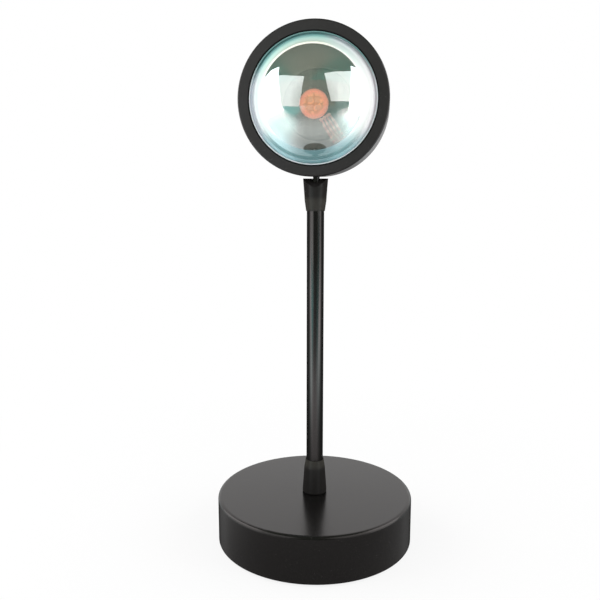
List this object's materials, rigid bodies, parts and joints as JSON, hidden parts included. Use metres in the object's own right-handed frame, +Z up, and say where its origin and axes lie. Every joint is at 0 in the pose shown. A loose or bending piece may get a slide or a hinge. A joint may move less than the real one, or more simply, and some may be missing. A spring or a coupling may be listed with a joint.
{
  "type": "sunset projection lamp",
  "caption": "Table lamp that throws a coloured disc of light: round weighted base, straight stem and a drum head with a domed glass lens that tilts and swivels.",
  "frame": {"origin": "centre of the base's underside, on the table", "axes": "+Z up along the stem, -Y the way the lens looks at rest, +X to the right seen from the front"},
  "size_m": [0.1, 0.1, 0.2562],
  "materials": {
    "black_paint": "satin black powder coat",
    "black_aluminium": "satin black powder coat over aluminium",
    "zinc_steel": "bright zinc plate",
    "cast_iron": "rough as cast",
    "foot_foam": "closed-cell foam, matt",
    "black_rubber": "moulded, matt",
    "silicone": "translucent silicone",
    "lens_glass": "polished, teal and pink interference coating",
    "bright_trim": "bright plated plastic",
    "black_plastic": "moulded, fine grain",
    "white_plastic": "moulded nylon",
    "bare_aluminium": "brushed",
    "circuit_board": "solder resist over copper",
    "led_board_face": "dark solder resist",
    "component_body": "moulded epoxy",
    "phosphor": "peach silicone over the chips",
    "led_chip": "gold bonded chips",
    "receiver_epoxy": "tinted epoxy",
    "pink_insulation": "thin silicone insulation",
    "black_insulation": "thin PVC insulation",
    "thermal_silicone": "soft grey pad"
  },
  "bodies": {
    "base": {"base_shell": "black_paint", "base_plate": "zinc_steel", "foot_pad": "foot_foam", "ballast_weight": "cast_iron", "base_screws": "zinc_steel", "cable_gland": "black_rubber", "lead_connector": "white_plastic", "stem_lead": "black_insulation", "stem_tube": "black_paint", "stem_washer": "zinc_steel", "stem_nut": "zinc_steel", "lower_ferrule": "black_paint", "swivel_washer": "white_plastic", "swivel_retaining_ring": "zinc_steel"},
    "neck": {"upper_ferrule": "black_paint", "pivot_screw": "zinc_steel", "pivot_nut": "zinc_steel", "pivot_washers": "white_plastic"},
    "head": {"hinge_tongue": "black_paint", "tongue_screws": "zinc_steel", "head_housing": "black_aluminium", "front_bezel": "black_aluminium", "rear_cover": "black_aluminium", "rear_cover_screws": "zinc_steel", "dome_lens": "lens_glass", "lens_trim_ring": "bright_trim", "lens_seal": "silicone", "lens_holder": "black_plastic", "mounting_plate": "bare_aluminium", "plate_screws": "zinc_steel", "thermal_pad": "thermal_silicone", "led_board": "led_board_face", "led_board_screws": "zinc_steel", "led_emitter": "phosphor", "led_chips": "led_chip", "led_wires": "pink_insulation", "ir_receiver": "receiver_epoxy", "heat_sink": "bare_aluminium", "heat_sink_screws": "zinc_steel", "controller_board": "circuit_board", "controller_parts": "component_body", "board_standoffs": "zinc_steel", "board_screws": "zinc_steel", "head_lead": "black_insulation"}
  },
  "joints": [
    {"name": "neck_swivel", "type": "hinge", "parent": "base", "child": "neck", "pos_m": [0, 0, 0.1714], "axis": [0, 0, 1], "range_deg": [-170, 170]},
    {"name": "head_tilt", "type": "hinge", "parent": "neck", "child": "head", "pos_m": [0, 0, 0.1791], "axis": [-1, 0, 0], "range_deg": [-10, 90]}
  ]
}
